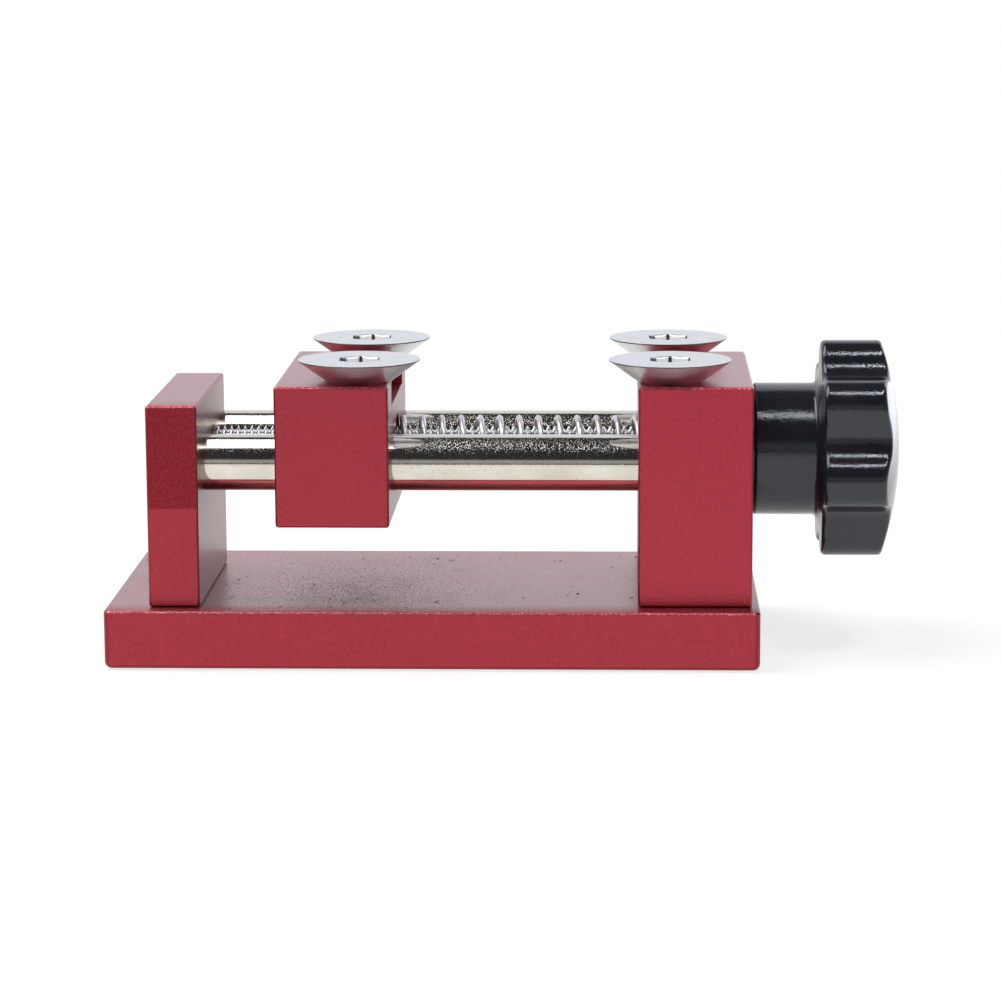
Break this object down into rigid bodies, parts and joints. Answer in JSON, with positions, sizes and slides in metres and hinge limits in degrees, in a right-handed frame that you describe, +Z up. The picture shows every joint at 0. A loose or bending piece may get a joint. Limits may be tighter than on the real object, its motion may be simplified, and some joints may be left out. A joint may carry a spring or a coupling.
{
  "type": "watch case opener",
  "caption": "Small bench vise with cone holders on two jaws, one driven along guide rods by a knob on a lead screw, for gripping a watch case.",
  "frame": {"origin": "centre of the base plate's underside", "axes": "+X along the lead screw towards the knob, +Y towards the back, +Z up"},
  "size_m": [0.1405, 0.056, 0.0546],
  "materials": {
    "red_anodised": "red anodised, satin",
    "brass": "plain turned",
    "nickel_plate": "nickel plated, faintly mottled",
    "zinc_plate": "zinc plated",
    "spring_steel": "bright drawn wire",
    "polished_steel": "polished cone, satin top",
    "black_phenolic": "gloss black moulding",
    "black_steel": "black oxide"
  },
  "bodies": {
    "stand": {"base_plate": "red_anodised", "end_post": "red_anodised", "fixed_jaw": "red_anodised", "tail_bush": "brass", "screw_bush": "brass", "guide_rod_front": "nickel_plate", "guide_rod_rear": "nickel_plate", "return_spring": "spring_steel", "holder_fixed_front": "polished_steel", "holder_fixed_rear": "polished_steel", "thrust_washer": "zinc_plate", "post_screws": "black_steel", "fixed_jaw_screws": "black_steel"},
    "carriage": {"moving_jaw": "red_anodised", "jaw_nut": "brass", "holder_moving_front": "polished_steel", "holder_moving_rear": "polished_steel"},
    "spindle": {"lead_screw": "zinc_plate", "screw_tail": "zinc_plate", "screw_journal": "zinc_plate", "knob": "black_phenolic", "knob_insert": "zinc_plate", "knob_set_screw": "black_steel"}
  },
  "joints": [
    {"name": "knob_spin", "type": "hinge", "parent": "stand", "child": "spindle", "pos_m": [0, 0, 0.0349], "axis": [-1, 0, 0], "range_deg": [-3600, 9000]},
    {"name": "jaw_slide", "type": "slide", "parent": "stand", "child": "carriage", "axis": [1, 0, 0], "range_m": [-0.0125, 0.03125], "deforming": ["return_spring"]}
  ],
  "couplings": [
    {"joint": "jaw_slide", "follows": "knob_spin", "m_per_rad": 0.00019894}
  ]
}
